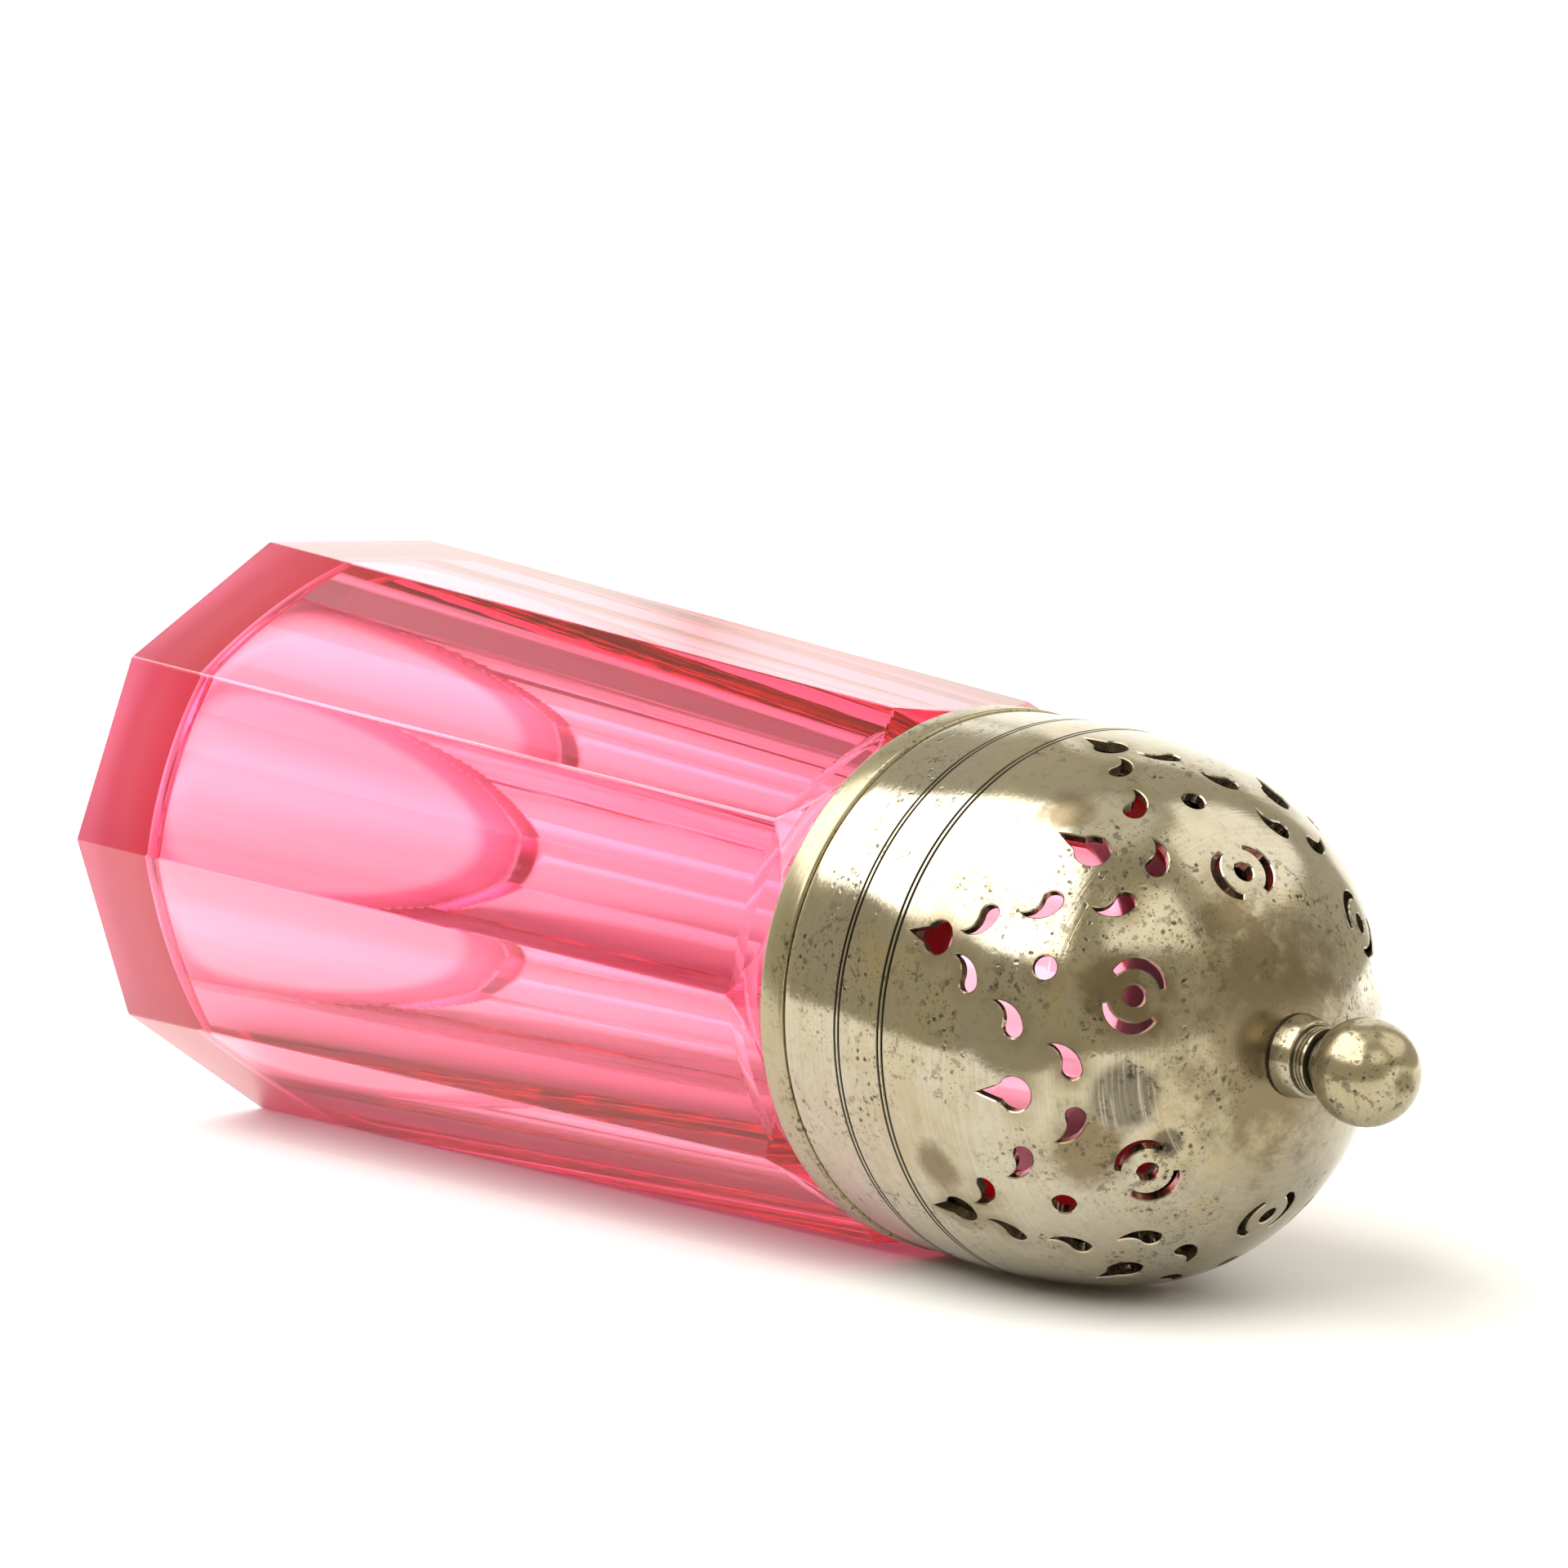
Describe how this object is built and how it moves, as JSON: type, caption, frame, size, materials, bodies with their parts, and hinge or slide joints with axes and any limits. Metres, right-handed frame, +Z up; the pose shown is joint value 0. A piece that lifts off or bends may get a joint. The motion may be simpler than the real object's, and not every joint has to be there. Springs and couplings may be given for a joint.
{
  "type": "sugar caster",
  "caption": "Tapered panel-cut cranberry glass sugar caster with a cemented screw collar and a domed, pierced plated-metal cover topped by a ball finial",
  "frame": {"origin": "centre of the glass base, in the plane that the caster stands on", "axes": "+Z up the axis from the base to the finial; +X through a corner between two glass panels"},
  "size_m": [0.064, 0.0608, 0.1564],
  "materials": {
    "cranberry_glass": "polished, cranberry pink through the mass",
    "plated_metal": "worn silver plate with a yellowish grey tarnish, pits and fine scratches",
    "setting_plaster": "matt setting plaster"
  },
  "bodies": {
    "glass": {"glass_body": "cranberry_glass", "plaster_bed": "setting_plaster", "neck_collar": "plated_metal"},
    "cover_carrier": {"finial_washer": "plated_metal"},
    "cover": {"cover_dome": "plated_metal", "thread_sleeve": "plated_metal", "finial_collet": "plated_metal", "finial_ball": "plated_metal", "finial_pin": "plated_metal"}
  },
  "joints": [
    {"name": "cover_rise", "type": "slide", "parent": "glass", "child": "cover_carrier", "axis": [0, 0, 1], "range_m": [0, 0.0055]},
    {"name": "cover_turn", "type": "hinge", "parent": "cover_carrier", "child": "cover", "pos_m": [0, 0, 0.1094], "axis": [0, 0, 1], "range_deg": [0, 600]}
  ],
  "couplings": [
    {"joint": "cover_rise", "follows": "cover_turn", "m_per_rad": 0.0005093}
  ]
}
